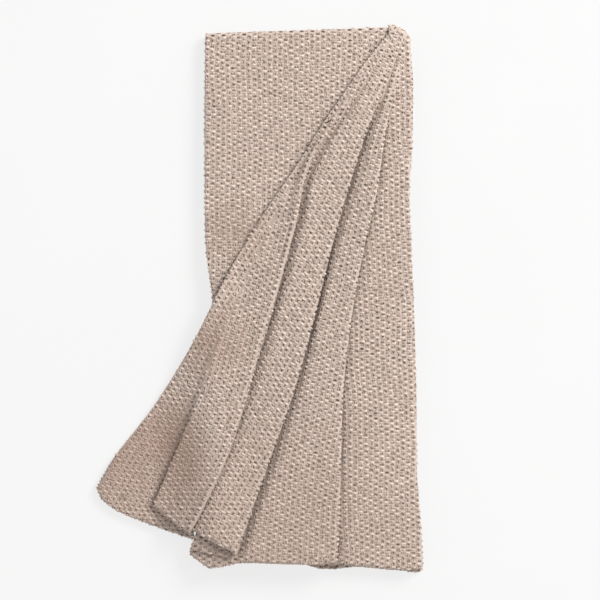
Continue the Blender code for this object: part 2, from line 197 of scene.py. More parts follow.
def between(table, name, down):
    """Reads a table's column at a distance down, on a smooth curve through its rows."""
    rows = [(row.down, getattr(row, name)) for row in table]
    if down <= rows[0][0]:
        return rows[0][1]
    if down >= rows[-1][0]:
        return rows[-1][1]
    at = max(i for i, row in enumerate(rows) if row[0] <= down)
    (x0, y0), (x1, y1) = rows[at], rows[at + 1]
    before, after = rows[max(at - 1, 0)], rows[min(at + 2, len(rows) - 1)]
    width = x1 - x0
    slope0 = (y1 - before[1]) / (x1 - before[0])
    slope1 = (after[1] - y0) / (after[0] - x0)
    part = (down - x0) / width
    square, cube = part * part, part * part * part
    return ((2 * cube - 3 * square + 1) * y0 + (cube - 2 * square + part) * width * slope0
            + (3 * square - 2 * cube) * y1 + (cube - square) * width * slope1)


def ease(part):
    """Goes from 0 to 1 with a level start and a level end."""
    part = min(max(part, 0.0), 1.0)
    return part * part * (3 - 2 * part)


def along(name, down):
    """How far a line of the fan lies round from the vertical, at a distance down."""
    return math.radians(between(LEANS, name, down)) * (down + POLE_RISE)


def fan_place(lean, down):
    """The place at a lean from the vertical and a distance down the fan."""
    return POLE_X - (down + POLE_RISE) * math.sin(lean), FOLD_Y - down * math.cos(lean)


def fan_read(x, y):
    """The distance down and the distance round of a place in the fan."""
    across, drop = max(POLE_X - x, 0.0), max(FOLD_Y - y, NEAR)
    low, high = max(drop, across - POLE_RISE), across + drop + POLE_RISE
    for _ in range(HALVINGS):
        down = (low + high) / 2
        inside = (across / (down + POLE_RISE)) ** 2 + (drop / down) ** 2 > 1
        low, high = (down, high) if inside else (low, down)
    lean = math.asin(min(across / (down + POLE_RISE), 1.0))
    return down, lean * (down + POLE_RISE)


def fold_line(x):
    """The top fold's line, which rises towards the right as far as the fan over it."""
    left = LEFTS[0].x
    rise = FOLD_Y + CREST - LEFT_FOLD_Y
    return (LEFT_FOLD_Y + rise * min(max((x - left) / (FAN_FROM_X - left), 0.0), 1.0)
            - CREST * ease((x - FAN_FROM_X) / FAN_RUN))


def turn_radius(down):
    """Radius of the turns, which open wide where the pleats run out at the top."""
    return TURN * (TOP_TURN - (TOP_TURN - 1) * ease(down / TOP_TURN_RUN))


def pleat(name, down):
    """A pleat's rolled edge, its lap, its height and the radius of its roll."""
    line = along("pleat_" + name, down)
    lap = between(LAPS, "lap_" + name, down)
    lift = between(LAPS, "lift_" + name, down)
    rise = min(between(LAPS, "rise_c" if name == "c" else "rise", down), 1.0)
    return line, lap, (2 * LAYER_PITCH + lift) * rise, lift / 2 + turn_radius(down)


def back_middle(x, y):
    """Height of the flat middle's back layer, on the floor or on the back fan."""
    down, round_ = fan_read(x, y)
    off_fan = ease((round_ - along("outer", down) - RISE_FROM) / RISE_RUN)
    return FLOOR_LAYER + LAYER_PITCH * (1 - off_fan)


def middle_gap(x, y):
    """Height between the flat middle's two layers, less where no strip lies between."""
    down = fold_line(x) - y
    past_strip = ease((x - between(LEFTS, "strip_end", down) - SINK_FROM) / SINK_RUN)
    below_top = ease((down - SINK_DOWN) / SINK_DOWN_RUN)
    return FULL_GAP - (FULL_GAP - LAYER_PITCH) * past_strip * below_top


def front_base(x, y):
    """Height that the front's layers are counted from, in the middle and in the fan."""
    swell = (SWELL * (1 + math.sin(23 * x + 11 * y + 1.0))
             + CROSS_SWELL * (1 + math.sin(31 * y - 17 * x)))
    middle = back_middle(x, y) + middle_gap(x, y) + swell * ease((FOLD_Y - y) / SWELL_RUN)
    beyond = between(LEFTS, "x", FOLD_Y - y) - x
    part = min(max(beyond / STEP_RUN, 0.0), 1.0)
    fallen = STEP_STRAIGHT * part + (1 - STEP_STRAIGHT) * ease(part)
    return middle + (FLOOR_LAYER - middle) * fallen


def front_height(x, y, layer):
    """Lifts a layer off the base, by more where the base is steep."""
    base = front_base(x, y)
    slope_x = (front_base(x + SLOPE_PROBE, y) - base) / SLOPE_PROBE
    slope_y = (front_base(x, y + SLOPE_PROBE) - base) / SLOPE_PROBE
    from_edge = abs(x - between(LEFTS, "x", FOLD_Y - y)) / BRIDGE_RUN
    bridge = BRIDGE * (1 - ease(from_edge)) * ease(layer / FIRST_LAYER)
    return base + bridge + layer * math.sqrt(1 + slope_x ** 2 + slope_y ** 2)


def panel(begin, soft_from, soft_to, end, heights, steps):
    """A panel's section: from its roll to where its support ends, eased down to the next
    height, and level under the next pleat. Its steps are shared out by length."""
    least = LEAST_PART * (end - begin)
    soft_from = max(begin + least, min(soft_from, end - 3 * least))
    soft_to = max(soft_from + least, min(soft_to, end - least))
    head = max(1, round(steps * (soft_from - begin) / (end - begin)))
    tail = max(1, round(steps * (end - soft_to) / (end - begin)))
    most = 3 * steps // 8
    head, tail = min(head, most), min(tail, most)
    soft = steps - head - tail
    stops = [(begin + (soft_from - begin) * i / head,
              heights[0] + (heights[1] - heights[0]) * i / head) for i in range(1, head + 1)]
    for i in range(1, soft + 1):
        stops.append((soft_from + (soft_to - soft_from) * i / soft,
                      heights[1] + (heights[2] - heights[1]) * ease(i / soft)))
    for i in range(1, tail + 1):
        stops.append((soft_to + (end - soft_to) * i / tail, heights[2]))
    return stops


def turn_back(begin, low, end, high, first, last, steps):
    """A fold from one layer to the next but one: a turn, a hidden stretch and a turn back.
    Where the lap is less than nothing it is a smooth step between two layers."""
    sign = 1 if high >= low else -1
    both = first + last
    reach = min(abs(high - low) - both, both)
    shift = end - begin
    if both - reach > NEAR:
        shift = max(shift, math.sqrt(both ** 2 - reach ** 2))
        end = begin + shift
    span = math.hypot(shift, reach)
    angle = math.atan2(reach, shift) + math.asin(min(both / span, 1.0))
    stops = []
    for i in range(1, steps[0] + 1):
        a = angle * i / steps[0]
        stops.append((begin + first * math.sin(a), low + sign * first * (1 - math.cos(a))))
    leave = (end - last * math.sin(angle), high - sign * last * (1 - math.cos(angle)))
    start = stops[-1]
    for i in range(1, steps[1] + 1):
        part = i / steps[1]
        stops.append((start[0] + (leave[0] - start[0]) * part,
                      start[1] + (leave[1] - start[1]) * part))
    for i in range(1, steps[2] + 1):
        a = angle * (1 - i / steps[2])
        stops.append((end - last * math.sin(a), high - sign * last * (1 - math.cos(a))))
    return stops


def flat_part(down, side):
    """The hidden strip, the left turn and the flat middle, as places across and layers."""
    left = between(LEFTS, "x", down) + EDGE + TURN
    strip_end = between(LEFTS, "strip_end", down)
    right = POLE_X - along("right", down) - EDGE - (RIGHT_TURN if side > 0 else TURN)
    stops = []
    for i in range(STEPS["strip"] + 1):
        stops.append((strip_end + (left - strip_end) * i / STEPS["strip"], -side * LAYER_PITCH))
    for i in range(1, STEPS["left turn"] + 1):
        a = math.pi * i / STEPS["left turn"]
        stops.append((left - TURN * math.sin(a), -side * TURN * (1 + math.cos(a))))
    for name, begin, end in (("over the strip", left, strip_end),
                             ("past the strip", strip_end, right)):
        for i in range(1, STEPS[name] + 1):
            stops.append((begin + (end - begin) * i / STEPS[name], 0.0))
    return stops


def front_fan(down):
    """The front fan's section, right to left: distance round and height off the base."""
    begin = along("right", down) + EDGE + RIGHT_TURN
    stops = []
    for i in range(1, STEPS["right turn"] + 1):
        a = math.pi * i / STEPS["right turn"]
        stops.append((begin - RIGHT_TURN * math.sin(a), RIGHT_TURN * (1 - math.cos(a))))
    perch = between(LAPS, "perch", down) * LAYER_PITCH
    line, lap, height, roll = pleat("a", down)
    fold_start = line + EDGE + roll + lap
    for i in range(1, STEPS["right panel"] + 1):
        stops.append((begin + (fold_start - begin) * i / STEPS["right panel"], FIRST_LAYER))
    lows = {"a": FIRST_LAYER, "b": FIRST_LAYER, "c": FIRST_LAYER + perch}
    for name, following in (("a", "b"), ("b", "c"), ("c", None)):
        line, lap, height, roll = pleat(name, down)
        start = line + EDGE + roll + lap
        high = lows[name] + height
        stops += turn_back(start, lows[name], line + EDGE + roll, high, turn_radius(down), roll,
                           (STEPS["under " + name], STEPS["inside " + name], STEPS["roll " + name]))
        here = stops[-1][0]
        seated = lows[name] + min(height, 2 * LAYER_PITCH)
        if following:
            after, next_lap, _, next_roll = pleat(following, down)
            end = after + EDGE + next_roll + next_lap
            soft_to = after if next_lap > 0 else end
            stops += panel(here, max(start, after - DIVE), soft_to, end,
                           (high, seated, lows[following]), STEPS["panel " + name])
    step = between(VALLEYS, "step", down) * LAYER_PITCH
    turned = ease(step / LAYER_PITCH - 1)
    edge = along("valley", down) - (EDGE + TURN) * turned
    radius = TURN * (2 - turned)
    over = FIRST_LAYER + step
    stops += panel(here, start, edge - VALLEY_PART * (edge - here), edge,
                   (high, seated, over), STEPS["panel c"])
    lap_end = edge - between(VALLEYS, "lap", down)
    stops += turn_back(edge, over, lap_end, FIRST_LAYER, radius, radius,
                       (STEPS["over valley"], STEPS["inside valley"], STEPS["under valley"]))
    here = stops[-1][0]
    outer = along("outer", down) - EDGE
    for i in range(1, STEPS["left panel"] + 1):
        stops.append((here + (outer - here) * i / STEPS["left panel"], FIRST_LAYER))
    return stops


def back_fan(down):
    """The back fan's section, one flat layer: distance round and height off the floor."""
    begin = along("right", down) + EDGE + TURN
    outer = along("outer", down) - EDGE
    stops = []
    for i in range(1, STEPS["right turn"] + 1):
        a = math.pi * i / STEPS["right turn"]
        stops.append((begin - TURN * math.sin(a), TURN * (1 + math.cos(a))))
    steps = sum(run.steps for run in RUNS[FAN_RUNS_FROM:])
    return stops + [(begin + (outer - begin) * i / steps, 0.0) for i in range(1, steps + 1)]


def hem_reaches(side):
    """How far the hem reaches at each column of the sheet."""
    front = side == "front"
    places = [stop[0] for stop in flat_part(DROP, 1 if front else -1)
              + (front_fan(DROP) if front else back_fan(DROP))]
    reaches = [getattr(START, side)]
    column = 0
    for run in RUNS:
        knots = [(0.0, reaches[-1])]
        knots += [(dip.part, getattr(dip, side)) for dip in DIPS if dip.run == run.name]
        knots.append((1.0, getattr(run, side)))
        begin, end = places[column], places[column + run.steps]
        for i in range(1, run.steps + 1):
            part = i / run.steps
            if abs(end - begin) > LONG_RUN:
                part = (places[column + i] - begin) / (end - begin)
            at = max(k for k, knot in enumerate(knots[:-1]) if knot[0] <= part + NEAR)
            (part0, reach0), (part1, reach1) = knots[at], knots[at + 1]
            reaches.append(reach0 + (reach1 - reach0) * (part - part0) / (part1 - part0))
        column += run.steps
    return reaches


def row(down, side, reaches):
    """One row of the sheet: a point for each column, from hidden edge to open edge."""
    front = side == "front"
    flat = flat_part(down, 1 if front else -1)
    fan = front_fan(down) if front else back_fan(down)
    points = []
    settle = (down / DROP) ** 3
    for number, (place, layer) in enumerate(flat + fan):
        own = down + (reaches[number] - DROP) * settle
        if number < len(flat):
            x, y = place, fold_line(place) - own
            z = front_height(x, y, layer) if front else back_middle(x, y) + layer
        else:
            x, y = fan_place(place / (down + POLE_RISE), own)
            z = front_height(x, y, layer) if front else FLOOR_LAYER + layer
        points.append((x, y, z))
    return points


def top_fold(front_row, back_row):
    """The rows that carry each column round the top fold, from the front to the back."""
    rows = []
    for i in range(1, FOLD_ROWS):
        a = math.pi * i / FOLD_ROWS
        points = []
        for (x, y, high), (back_x, _, low) in zip(front_row, back_row):
            middle, radius = (high + low) / 2, (high - low) / 2
            points.append(((x + back_x) / 2, y + radius * math.sin(a),
                           middle + radius * math.cos(a)))
        rows.append(points)
    return rows


def round_corner(point, corner):
    """Draws a point near a corner of the throw inwards, so that the corner is round."""
    sine, cosine = math.sin(corner.lean), math.cos(corner.lean)
    onward = (-corner.end * sine, -corner.end * cosine)
    offset = (point[0] - corner.x, point[1] - corner.y)
    beside = 1 + corner.side * (offset[0] * cosine - offset[1] * sine) / corner.radius
    if beside <= 0:
        return point
    inward = -(offset[0] * onward[0] + offset[1] * onward[1]) / (4 * corner.radius)
    draw = corner.radius * (1 - math.sqrt(1 - min(beside, ROUND_TO) ** 2)) * (1 - ease(inward))
    return point[0] - draw * onward[0], point[1] - draw * onward[1], point[2]


def corners():
    """The throw's four corners: both ends of the top fold, and the two ends of the hem."""
    outer_lean = math.radians(between(LEANS, "outer", OUTER_HEM))
    outer = fan_place(outer_lean, OUTER_HEM)
    right_lean = math.radians(between(LEANS, "right", DROP))
    right = fan_place(right_lean, RIGHT_HEM)
    return (Corner(LEFTS[0].x, LEFT_FOLD_Y, 0.0, -1, -1, 0.006),
            Corner(POLE_X - along("right", 0.0), FOLD_Y, 0.0, 1, -1, 0.032),
            Corner(right[0], right[1], right_lean, 1, 1, 0.012),
            Corner(outer[0], outer[1], outer_lean, -1, 1, 0.020))


def sheet_rows():
    """The sheet's rows: up the front from its hem, round the top fold and down the back."""
    reaches = {side: hem_reaches(side) for side in ("front", "back")}
    front = [row(DROP * i / FRONT_ROWS, "front", reaches["front"]) for i in range(FRONT_ROWS + 1)]
    back = [row(DROP * i / BACK_ROWS, "back", reaches["back"]) for i in range(BACK_ROWS + 1)]
    rows = front[::-1] + top_fold(front[0], back[0]) + back
    for corner in corners():
        rows = [[round_corner(point, corner) for point in points] for points in rows]
    return rows


def knitted_sheet():
    """The cloth with its thickness, centred over the origin as its solid is, its rows of
    points, and how far it was shifted for that."""
    rows = sheet_rows()
    columns = len(rows[0])
    uncentred = [point for points in rows for point in points]
    low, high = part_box("knit_throw")
    shift = []
    for k in range(2):
        least, most = min(p[k] for p in uncentred), max(p[k] for p in uncentred)
        shift.append((low[k] + high[k] - least - most) / 2)
    points = [(x + shift[0], y + shift[1], z) for x, y, z in uncentred]
    faces = []
    for i in range(len(rows) - 1):
        for j in range(columns - 1):
            a = i * columns + j
            faces.append((a, a + 1, a + 1 + columns, a + columns))
    mesh = bpy.data.meshes.new("cloth")
    mesh.from_pydata(points, [], faces)
    mesh.shade_smooth()
    cloth = bpy.data.objects.new("cloth", mesh)
    bpy.context.scene.collection.objects.link(cloth)
    wall = cloth.modifiers.new("wall", "SOLIDIFY")
    wall.thickness, wall.offset, wall.use_rim = CLOTH, 0.0, True
    bpy.context.view_layer.update()
    solid = bpy.data.meshes.new_from_object(
        cloth.evaluated_get(bpy.context.evaluated_depsgraph_get()))
    cloth.modifiers.remove(wall)
    cloth.data = solid
    return cloth, [points[i * columns:(i + 1) * columns] for i in range(len(rows))], shift


class Shader:
    """Wraps a shader socket so that a pattern can be written as sums and products."""

    def __init__(self, tree, socket):
        self.tree, self.socket = tree, socket

    def node(self, kind, settings=(), inputs=(), output=0):
        made = self.tree.nodes.new("ShaderNode" + kind)
        for name, value in dict(settings).items():
            setattr(made, name, value)
        for name, value in dict(inputs).items():
            if isinstance(value, Shader):
                self.tree.links.new(value.socket, made.inputs[name])
            else:
                made.inputs[name].default_value = value
        return Shader(self.tree, made.outputs[output])

    def maths(self, operation, *values):
        return self.node("Math", {"operation": operation}, dict(enumerate(values)))

    def __add__(self, other):
        return self.maths("ADD", self, other)

    def __sub__(self, other):
        return self.maths("SUBTRACT", self, other)

    def __rsub__(self, other):
        return self.maths("SUBTRACT", other, self)

    def __mul__(self, other):
        return self.maths("MULTIPLY", self, other)

    __radd__, __rmul__ = __add__, __mul__

    def clamped(self):
        return self.node("Clamp", (), {"Value": self})

    def mix(self, first, second):
        """Goes from the first colour to the second as this value goes from 0 to 1."""
        return self.node("Mix", {"data_type": "RGBA"}, {0: self, 6: first, 7: second}, 2)


def new_material(name):
    """A material, its Principled shader, and a wrapper on its object coordinates."""
    material = bpy.data.materials.new(name)
    material.use_nodes = True
    shader = material.node_tree.nodes["Principled BSDF"]
    place = Shader(material.node_tree, None).node("TexCoord", output="Object")
    return material, shader, place


# The yarn's plies, the painted shade between the stitches and in the grooves, and the darker,
# redder colour of the patches of painted shade
YARN_PALE = (0.87, 0.735, 0.65, 1.0)
YARN_MID = (0.355, 0.272, 0.225, 1.0)
YARN_PAINTED_SHADE = (0.10, 0.071, 0.057, 1.0)
YARN_PATCH_SHADE = (0.42, 0.285, 0.225, 1.0)

# Scales of the yarn's flecks, fibres, the uneven patches of painted shade and uneven stitches, for
# each metre
FLECK_SCALE, FIBRE_SCALE, PATCH_SCALE, UNEVEN_SCALE = 420.0, 1500.0, 9.0, 120.0

# Painted shade in the holes between the stitches: its level and edge, and how flecks and unevenness
# break it
HOLE_LEVEL, HOLE_EDGE, HOLE_FLECKS, HOLE_UNEVEN = -0.20, 2.3, 1.6, 1.3

# Strands that lie lengthwise along the crest: how often they change, level and edge
STRANDS_ACROSS, STRANDS_ALONG, STRAND_LEVEL, STRAND_EDGE = 5.0, 0.4, 0.35, 2.2

# Paleness of a loop: its own share, its flecks' share and what all loops have, and how strongly
# painted shade darkens the yarn deep in a groove, where cloth hides the sky
TONE_OWN, TONE_FLECKS, TONE_ALL = 0.75, 2.1, 0.12
GROOVE_PAINTED_SHADE_STRENGTH = 1.35

# Patches of painted shade, where the yarn is painted darker and redder on slopes and folds: places,
# how far round, and how much
SHADE_PATCH_HEIGHT = 0.03
Blush = namedtuple("Blush", "x y radius amount")
SHADE_PATCHES = (
    Blush(-0.135, -0.215, 0.060, 0.75),
    Blush(-0.108, -0.265, 0.050, 0.50),
    Blush(-0.035, 0.105, 0.060, 0.35),
    Blush(-0.215, -0.240, 0.150, 0.70),
    Blush(0.020, -0.420, 0.300, 0.26),
    Blush(-0.070, -0.062, 0.075, 0.60),
)


def yarn_material(name, deep):
    """Marled yarn: beige plies with paler and darker flecks, with painted shade in the grooves
    between pleats. Deep adds painted shade in the holes of the cloth between the stitches."""
    material, shader, place = new_material(name)
    patches = place.node("TexNoise", (), {"Vector": place, "Scale": PATCH_SCALE, "Detail": 3.0})
    flecks = place.node("TexNoise", (), {"Vector": place, "Scale": FLECK_SCALE, "Detail": 2.0,
                                         "Roughness": 0.6})
    fibres = place.node("TexNoise", (), {"Vector": place, "Scale": FIBRE_SCALE, "Detail": 2.0})
    if deep:
        knit = place.node("Attribute", {"attribute_name": "knit"}, (), "Vector")
        wale = knit.node("SeparateXYZ", (), {0: knit}, 0)
        crest = knit.node("SeparateXYZ", (), {0: knit}, 2)
        course = knit.node("SeparateXYZ", (), {0: knit}, 1)
        purl = wale.maths("COSINE", wale * math.pi) * wale.maths("COSINE", course * math.pi)
        uneven = place.node("TexNoise", (), {"Vector": place, "Scale": UNEVEN_SCALE,
                                             "Detail": 1.0})
        # Painted shade: the cloth is darkened towards deep brown in the holes between the purl
        # loops
        hole_shade = ((HOLE_LEVEL - purl) * HOLE_EDGE + (flecks - 0.5) * HOLE_FLECKS
                + (uneven - 0.5) * HOLE_UNEVEN).clamped()
        colour = hole_shade.mix(flecks.mix(YARN_MID, YARN_PALE), YARN_PAINTED_SHADE)
        lengthwise = knit.node("CombineXYZ", (), {0: wale * STRANDS_ACROSS,
                                                  1: course * STRANDS_ALONG})
        strands = knit.node("TexNoise", (), {"Vector": lengthwise, "Scale": 1.0, "Detail": 2.0})
        paleness = ((strands - STRAND_LEVEL) * STRAND_EDGE).clamped()
        colour = crest.mix(colour, paleness.mix(YARN_MID, YARN_PALE))
    else:
        own = place.node("Attribute", {"attribute_name": "tone"}, (), "Fac")
        tone = (own * TONE_OWN + (flecks - 0.5) * TONE_FLECKS + TONE_ALL).clamped()
        colour = tone.mix(YARN_MID, YARN_PALE)
    # Painted shade: darker, redder patches laid over the yarn
    for shade_patch in SHADE_PATCHES:
        away = place.node("VectorMath", {"operation": "DISTANCE"},
                          {0: place, 1: (shade_patch.x, shade_patch.y, SHADE_PATCH_HEIGHT)}, "Value")
        patch_shade = (1.0 - away * (1 / shade_patch.radius)).clamped() * (0.5 + patches) * shade_patch.amount
        colour = patch_shade.clamped().mix(colour, YARN_PATCH_SHADE)
    # Painted shade: the yarn is darkened towards deep brown where nearby cloth hides the sky, deep
    # in the grooves
    groove = place.node("Attribute", {"attribute_name": "groove"}, (), "Fac")
    colour = (groove * groove * GROOVE_PAINTED_SHADE_STRENGTH).clamped().mix(colour, YARN_PAINTED_SHADE)
    bump = place.node("Bump", (), {"Height": fibres + flecks, "Strength": 0.35,
                                   "Distance": 0.0006})
    links = material.node_tree.links
    links.new(colour.socket, shader.inputs["Base Color"])
    links.new(bump.socket, shader.inputs["Normal"])
    shader.inputs["Roughness"].default_value = 0.92
    shader.inputs["Specular IOR Level"].default_value = 0.15
    shader.inputs["Sheen Weight"].default_value = 0.10
    shader.inputs["Sheen Roughness"].default_value = 0.6
    shader.inputs["Sheen Tint"].default_value = (0.95, 0.90, 0.86, 1.0)
    return material


cloth, cloth_rows, cloth_shift = knitted_sheet()
cloth.name = cloth.data.name = "knitted_panel"
cloth.data.materials.clear()
cloth.data.materials.append(yarn_material("yarn_between_stitches", deep=True))
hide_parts("knit_throw")
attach(cloth, "root")

# The seed stitches: knit and purl change places along each row and each wale, so every
# purl loop stands up as a small bar, staggered against its neighbours. They are yarn
# loops of the panel itself. Each panel of the fan shows its wales at its own lean.
WALE_PITCH = 0.0081
STITCH_REPEAT = 0.0086

# Sizes of a purl loop and of a leg of yarn below it, and how far the legs stand apart
STITCH_ACROSS, STITCH_ALONG, STITCH_HIGH, STITCH_ARCH = 0.0080, 0.0040, 0.0036, 34.0
LEG_ACROSS, LEG_ALONG, LEG_HIGH = 0.0024, 0.0058, 0.0026
LEG_APART, LEG_SLANT = 0.0017, 0.42
STITCH_SINK = 0.0002

# Least distance between loops, and how a hand's knitting strays in place, lean and size
STITCH_GAP, STITCH_CELL = 0.0060, 0.006
STRAY_ACROSS, STRAY_ALONG, STRAY_LEAN = 0.0008, 0.0007, 0.10
LEAST_SIZE, MOST_SIZE, UNDERSIDE_SIZE = 0.84, 1.12, 0.85
OVERHEAD, UNDERNEATH = 0.2, -0.1
STITCHED_PANELS = ("flat", "right", "a", "b", "c", "left")

# Leans of each panel's wales from the vertical, in degrees, at distances down from the top
Wale = namedtuple("Wale", "down flat right a b c left under")
WALES = (
    Wale(0.00, 0.0, -1.0, 17.0, 28.0, 22.0, 36.0, 4.0),
    Wale(0.30, 0.0, -3.0, 17.0, 29.0, 17.0, 36.0, 4.0),
    Wale(0.44, 0.0, -3.0, 16.0, 30.0, 16.0, 35.0, 4.0),
    Wale(0.54, 0.0, -2.0, 12.0, 31.0, 19.0, 35.0, 4.0),
    Wale(0.63, 0.0, -1.0, 10.0, 31.0, 24.0, 34.0, 4.0),
    Wale(0.85, 0.0, 0.0, 1.0, 28.0, 31.0, 27.0, 4.0),
)
STRAY_SEED = 7
chance = random.Random(STRAY_SEED)

columns = len(cloth_rows[0])
sheet_points = len(cloth_rows) * columns
column_panels = [RUNS[0].panel]
for run in RUNS:
    column_panels += [run.panel] * run.steps

# The crest of the middle pleat's roll, where the yarn lies lengthwise with no purl loops
CREST_MARGIN = 3
CREST_ROWS = round(0.83 * FRONT_ROWS)
first_crest = 1 + sum(run.steps for run in RUNS[:[run.name for run in RUNS].index("roll c")])
crest_columns = range(first_crest + CREST_MARGIN, first_crest + STEPS["roll c"] - CREST_MARGIN)
cloth_tree = BVHTree.FromPolygons([v.co for v in cloth.data.vertices],
                                  [tuple(f.vertices) for f in cloth.data.polygons])


def wander(x, y):
    """How far wales and courses stray from straight lines, across and along."""
    across = 0.0012 * math.sin(31 * y + 9 * x) + 0.0007 * math.sin(57 * y - 23 * x + 1.3)
    onward = 0.0010 * math.sin(27 * x + 14 * y + 0.7) + 0.0006 * math.sin(61 * x - 8 * y)
    return across, onward


def panel_of(face):
    """The panel that a face of the cloth belongs to."""
    places = [divmod(v % sheet_points, columns) for v in cloth.data.polygons[face].vertices]
    column = max(j for _, j in places)
    crested = column in crest_columns and places[0][0] < CREST_ROWS
    return "crest" if crested else column_panels[column]


class Wales:
    """One panel's wales: lines side by side that lean as the table says, with the courses
    square across them."""

    STEP = 0.0005
    ABOVE, BELOW = 0.03, 0.92
    FIRST, LAST = -70, 75

    def __init__(self, name):
        self.lines = []
        reach, swing, down = 0.0, 0.0, -self.ABOVE
        while down < self.BELOW:
            lean = math.radians(between(WALES, name, max(down, 0.0)))
            self.lines.append((down, reach, swing, lean))
            reach += self.STEP / math.cos(lean)
            swing += self.STEP * math.tan(lean)
            down += self.STEP

    def read(self, x, y):
        """The wale and the course at a place seen from above."""
        across, onward = wander(x, y)
        down = FOLD_Y + cloth_shift[1] - (y - onward)
        at = min(max(int((down + self.ABOVE) / self.STEP), 0), len(self.lines) - 1)
        _, reach, swing, lean = self.lines[at]
        wale = (x - across - cloth_shift[0] - POLE_X + swing) * math.cos(lean) / WALE_PITCH
        return wale, (reach - wale * WALE_PITCH * math.tan(lean)) / (STITCH_REPEAT / 2)

    def purls(self):
        """Places of the purl loops, and the lean of the wales there."""
        last = {}
        for down, reach, swing, lean in self.lines:
            for wale in range(self.FIRST, self.LAST):
                along_wale = reach - wale * WALE_PITCH * math.tan(lean)
                course = math.floor(along_wale / (STITCH_REPEAT / 2))
                if wale in last and course != last[wale] and (course + wale) % 2 == 0:
                    x = POLE_X - swing + wale * WALE_PITCH / math.cos(lean) + cloth_shift[0]
                    y = FOLD_Y - down + cloth_shift[1]
                    across, onward = wander(x, y)
                    yield x + across, y + onward, lean
                last[wale] = course


# Ways to the sky, by angle up and angle round, and how near the cloth that hides it is
SKY_HEIGHTS = (0.5, 0.95)
SKY_TURNS = (0.3, 1.1, 1.9, 2.7, 3.5, 4.2, 5.0, 5.8)
SKY = [Vector((math.cos(turn) * math.cos(height), math.sin(turn) * math.cos(height),
               math.sin(height))) for height in SKY_HEIGHTS for turn in SKY_TURNS]
GROOVE_LIFT, GROOVE_REACH = 0.0012, 0.028


def groove_at(place, facing):
    """How deep in a groove a place lies: the share of the sky that cloth hides from it, which sets
    the painted shade there.
    """
    start = place + facing * GROOVE_LIFT
    hidden = sum(cloth_tree.ray_cast(start, way, GROOVE_REACH)[0] is not None for way in SKY)
    return hidden / len(SKY)


Stitch = namedtuple("Stitch", "group place facing wale size groove")


class Stitches:
    """The stitches set so far, kept on a grid so that no two stand in one place."""

    def __init__(self):
        self.cells, self.made = {}, []

    def cell(self, point):
        return tuple(int(math.floor(c / STITCH_CELL)) for c in point)

    def free(self, point, gap):
        cx, cy, cz = self.cell(point)
        for i in (-1, 0, 1):
            for j in (-1, 0, 1):
                for k in (-1, 0, 1):
                    for other in self.cells.get((cx + i, cy + j, cz + k), ()):
                        if (other - point).length < gap:
                            return False
        return True

    def add(self, group, point, facing, wale, size=1.0):
        wale = (wale - facing * wale.dot(facing)).normalized()
        if not group.startswith("legs"):
            self.cells.setdefault(self.cell(point), []).append(point)
        # The share of sky hidden here, kept as the strength of the painted shade in the grooves
        groove = groove_at(point, facing) if group not in ("under", "chain") else 0.0
        sunk = point - facing * STITCH_SINK
        self.made.append(Stitch(group, sunk, facing, wale, size, groove))


# What the cloth's colour reads at each point: its wale and course, whether it lies on the crest,
# and how much of the sky cloth hides from it, for the painted shade in the grooves
wales = {name: Wales(name) for name in Wale._fields[1:]}
cloth.data.attributes.new("knit", "FLOAT_VECTOR", "POINT")
cloth.data.attributes.new("groove", "FLOAT", "POINT")
knit, groove = cloth.data.attributes["knit"], cloth.data.attributes["groove"]
for number, vertex in enumerate(cloth.data.vertices):
    i, j = divmod(number % sheet_points, columns)
    side = column_panels[j] if i <= FRONT_ROWS + FOLD_ROWS // 2 else "under"
    wale, course = wales[side].read(vertex.co.x, vertex.co.y)
    crest = 1.0 if j in crest_columns and i < CREST_ROWS else 0.0
    knit.data[number].vector = (wale, course, crest)
    if i <= FRONT_ROWS:
        groove.data[number].value = groove_at(vertex.co, Vector((0, 0, 1)))

# A purl loop and the two legs below it at each place, panel by panel, then the underside
stitches = Stitches()
for name in STITCHED_PANELS:
    for x, y, lean in wales[name].purls():
        start = Vector((x + chance.gauss(0, STRAY_ACROSS), y + chance.gauss(0, STRAY_ALONG),
                        OVERHEAD))
        place, facing, face, _ = cloth_tree.ray_cast(start, Vector((0, 0, -1)))
        if place is None or panel_of(face) != name or not stitches.free(place, STITCH_GAP):
            continue
        lean += chance.gauss(0, STRAY_LEAN)
        downward = Vector((-math.sin(lean), -math.cos(lean), 0))
        stitches.add(name, place, facing, downward)
        for side in (-LEG_APART, LEG_APART):
            across = Vector((math.cos(lean), -math.sin(lean), 0)) * side
            start = place + downward * (STITCH_REPEAT / 2) + across
            start.z = OVERHEAD
            foot, facing, face, _ = cloth_tree.ray_cast(start, Vector((0, 0, -1)))
            if foot is not None and panel_of(face) == name:
                slant = downward - across * (math.tan(LEG_SLANT) / LEG_APART)
                stitches.add("legs_" + name, foot, facing, slant)
for x, y, lean in wales["under"].purls():
    place, facing, face, _ = cloth_tree.ray_cast(Vector((x, y, UNDERNEATH)), Vector((0, 0, 1)))
    if place is not None:
        downward = Vector((-math.sin(lean), -math.cos(lean), 0))
        stitches.add("under", place, facing, downward, UNDERSIDE_SIZE)

